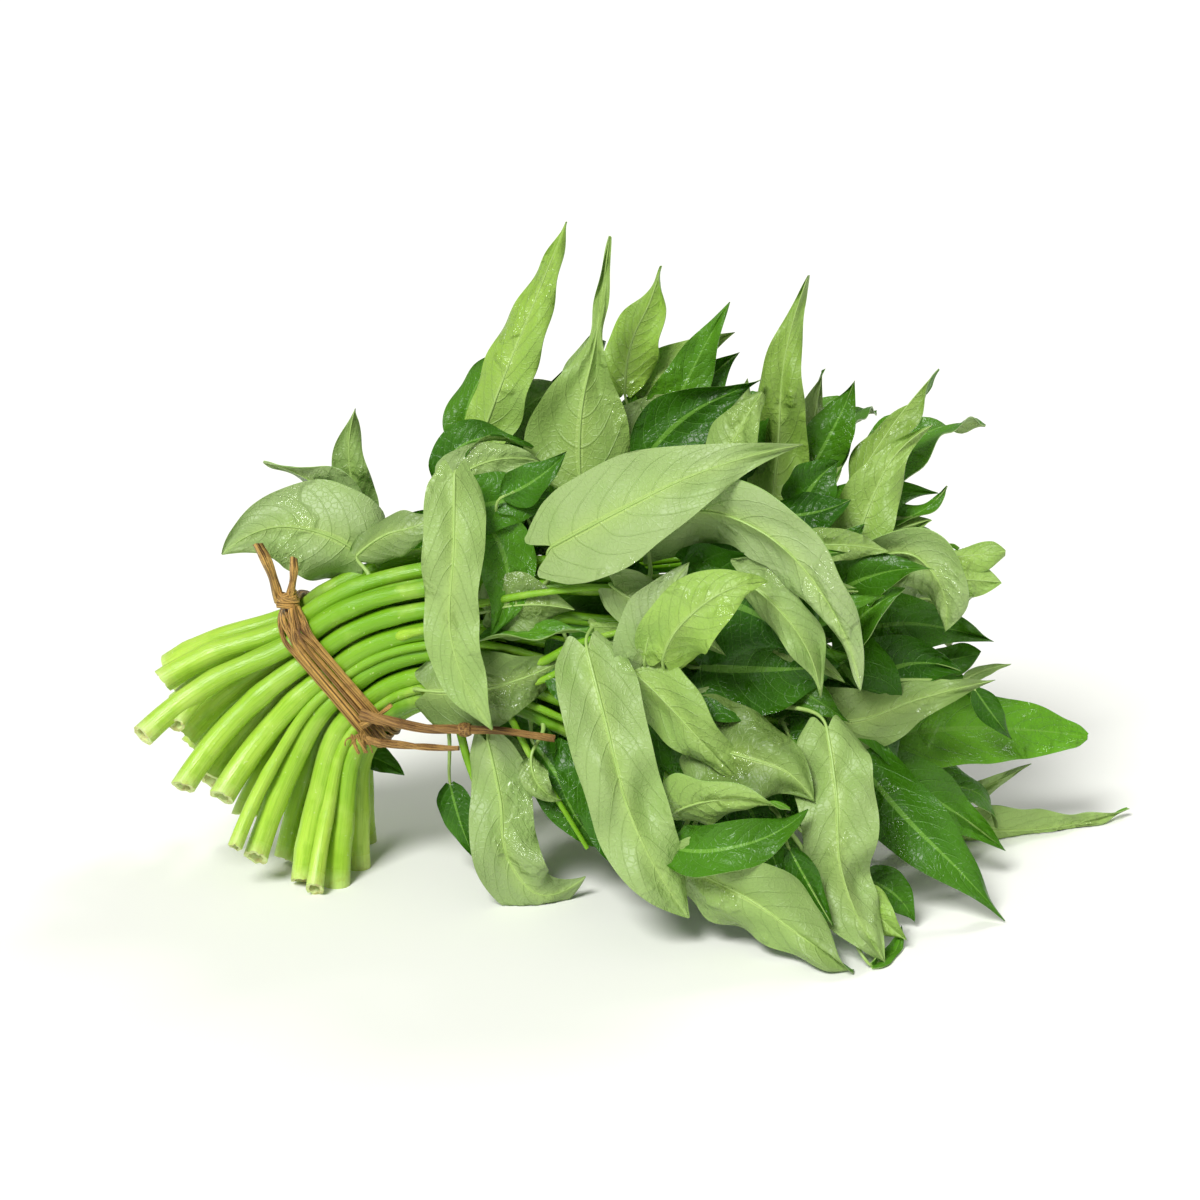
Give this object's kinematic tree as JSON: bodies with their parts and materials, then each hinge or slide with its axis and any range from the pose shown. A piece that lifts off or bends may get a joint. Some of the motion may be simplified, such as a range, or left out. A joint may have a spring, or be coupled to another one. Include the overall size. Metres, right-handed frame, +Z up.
{
  "type": "bundle of water spinach",
  "caption": "Bunch of water spinach tied with a dried reed, lying on its cut hollow stems and its long arrow-shaped leaves.",
  "frame": {"origin": "middle of the footprint, on the surface that the bunch lies on", "axes": "+X from the cut ends towards the leaf tips, along the bunch; +Y away from the side with the loose tails of the tie; +Z up"},
  "size_m": [0.4048, 0.2338, 0.2602],
  "materials": {
    "stem": "smooth and waxy, with fine length-wise lines, paler at the cut end",
    "leaf": "dark and glossy above, pale sage and matt below, with a raised midrib and arched veins",
    "reed": "dull dried reed with long fibres"
  },
  "bodies": {
    "root": {"stem_01": "stem", "stem_02": "stem", "stem_03": "stem", "stem_04": "stem", "stem_05": "stem", "stem_06": "stem", "stem_07": "stem", "stem_08": "stem", "stem_09": "stem", "stem_10": "stem", "stem_11": "stem", "stem_12": "stem", "stem_13": "stem", "stem_14": "stem", "stem_15": "stem", "stem_16": "stem", "stem_17": "stem", "stem_18": "stem", "stem_19": "stem", "stem_20": "stem", "stem_21": "stem", "stem_22": "stem", "stem_23": "stem", "stem_24": "stem", "stem_25": "stem", "stem_26": "stem", "stem_27": "stem", "stem_28": "stem", "stem_29": "stem", "stem_30": "stem", "stem_31": "stem", "stem_32": "stem", "tie_band": "reed", "tie_end_tall": "reed", "tie_end_short": "reed", "tie_tail_long": "reed", "tie_tail_short": "reed", "leaf_left_hood": "leaf", "leaf_left_spike": "leaf", "leaf_tall_bright": "leaf", "leaf_whip": "leaf", "leaf_pair_front": "leaf", "leaf_tall_right": "leaf", "leaf_hero_flat": "leaf", "leaf_hero_arch": "leaf", "leaf_hanging_left": "leaf", "leaf_right_fold": "leaf", "leaf_right_roll": "leaf", "leaf_right_droop": "leaf", "leaf_wavy": "leaf", "leaf_big_right": "leaf", "leaf_floor_long": "leaf", "leaf_hero_front": "leaf", "leaf_fold_bright": "leaf", "leaf_upright_pale": "leaf", "leaf_front_low": "leaf", "leaf_dark_right": "leaf", "leaf_left_hanging": "leaf", "leaf_back_high": "leaf", "leaf_back_low": "leaf"}
  },
  "joints": []
}
